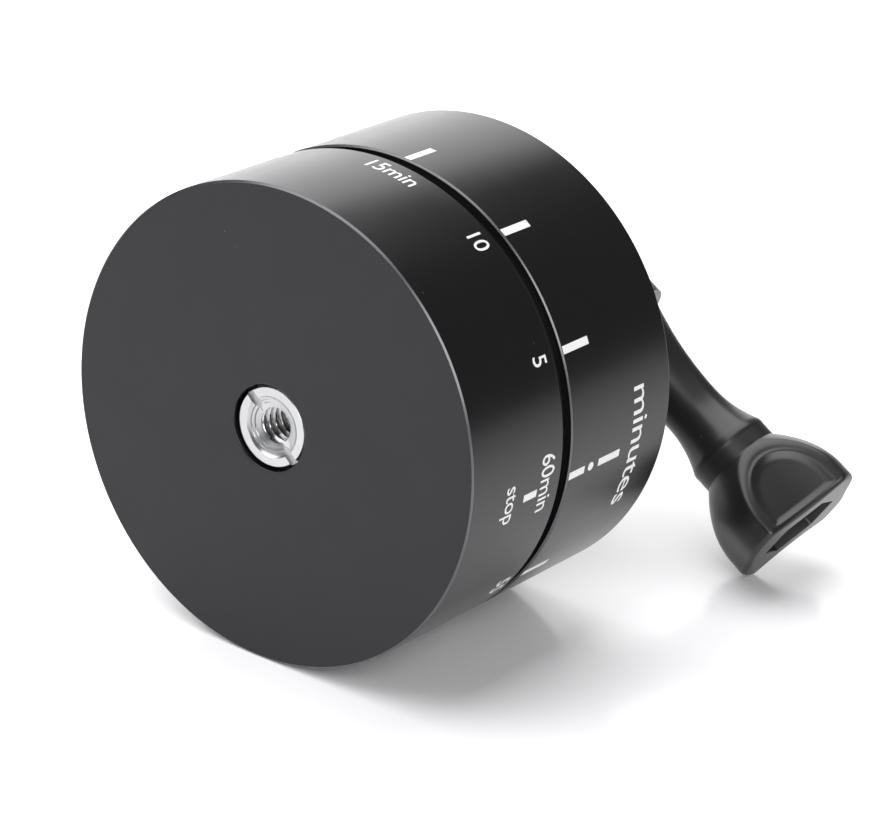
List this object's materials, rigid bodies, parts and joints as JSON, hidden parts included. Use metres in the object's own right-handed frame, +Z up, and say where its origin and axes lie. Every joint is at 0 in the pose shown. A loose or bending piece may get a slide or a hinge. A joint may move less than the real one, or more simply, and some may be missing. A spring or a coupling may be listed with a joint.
{
  "type": "panning head",
  "caption": "Wind-up rotating time-lapse head in two black aluminium cups, with a slotted tripod bush and a three-prong camera adapter clamped by a long thumbscrew.",
  "frame": {"origin": "centre of the bounding box at the level it lies on: z = 0 touches the lowest line of both cups and the knob's lowest edge", "axes": "+Z up, +Y along the turning axis from the tripod face to the camera end, +X to the side that the thumbscrew points to. The turning axis runs through x = -6.2 mm, z = 35 mm"},
  "size_m": [0.0824, 0.0888, 0.07],
  "materials": {
    "black_anodised": "satin black anodised aluminium",
    "black_plastic": "black moulded nylon, fine satin grain",
    "steel": "turned and polished steel",
    "spring_steel": "blued spring strip",
    "brass": "turned and grained brass",
    "rubber": "matt black rubber",
    "dial_print": "off-white dial marks"
  },
  "bodies": {
    "base": {"base_housing": "black_anodised", "glide_ring": "black_plastic", "tripod_bush": "steel", "movement_lower_plate": "brass", "movement_upper_plate": "brass", "pillar_1": "brass", "pillar_2": "brass", "pillar_3": "brass", "pillar_4": "brass", "pillar_nut_1": "steel", "pillar_nut_2": "steel", "pillar_nut_3": "steel", "pillar_nut_4": "steel", "plate_screw_1": "steel", "plate_screw_2": "steel", "plate_screw_3": "steel", "mainspring": "spring_steel", "spring_post": "steel"},
    "head": {"head_housing": "black_anodised", "main_arbor": "steel", "clutch_spring": "spring_steel", "main_wheel": "brass", "drive_hub": "brass", "hub_screw_1": "steel", "hub_screw_2": "steel", "hub_screw_3": "steel", "hub_grub_screw": "steel", "camera_stud": "steel", "rubber_pad": "rubber"},
    "second": {"second_arbor": "steel", "second_wheel": "brass"},
    "third": {"third_arbor": "steel", "third_wheel": "brass"},
    "escape": {"escape_arbor": "steel", "escape_wheel": "brass"},
    "balance": {"balance_staff": "steel", "balance_wheel": "brass", "pallet_anchor": "steel"},
    "adapter": {"three_prong_adapter": "black_plastic", "adapter_insert": "brass", "clamp_nut": "steel"},
    "thumbscrew": {"thumbscrew_handle": "black_plastic", "knob_plug": "black_plastic", "clamp_bolt": "steel"}
  },
  "joints": [
    {"name": "head_turn", "type": "hinge", "parent": "base", "child": "head", "pos_m": [-0.00621, 0, 0.035], "axis": [0, -1, 0], "range_deg": [0, 360]},
    {"name": "second_spin", "type": "hinge", "parent": "base", "child": "second", "pos_m": [-0.02218, 0, 0.04081], "axis": [0, -1, 0], "range_deg": [-2700, 0]},
    {"name": "third_spin", "type": "hinge", "parent": "base", "child": "third", "pos_m": [-0.01596, 0, 0.05013], "axis": [0, -1, 0], "range_deg": [0, 16200]},
    {"name": "escape_spin", "type": "hinge", "parent": "base", "child": "escape", "pos_m": [-0.00659, 0, 0.053], "axis": [0, -1, 0], "range_deg": [-97200, 0]},
    {"name": "balance_swing", "type": "hinge", "parent": "base", "child": "balance", "pos_m": [0.00143, 0, 0.0513], "axis": [0, -1, 0], "range_deg": [-5, 5]},
    {"name": "adapter_swivel", "type": "hinge", "parent": "head", "child": "adapter", "pos_m": [-0.00621, 0.03321, 0.035], "axis": [0, 1, 0], "continuous": true},
    {"name": "thumbscrew_turn", "type": "hinge", "parent": "adapter", "child": "thumbscrew", "pos_m": [-0.00621, 0.03321, 0.035], "axis": [0.8499, 0, -0.527], "continuous": true}
  ],
  "couplings": [
    {"joint": "second_spin", "follows": "head_turn", "ratio": -7.5},
    {"joint": "third_spin", "follows": "head_turn", "ratio": 45},
    {"joint": "escape_spin", "follows": "head_turn", "ratio": -270}
  ]
}
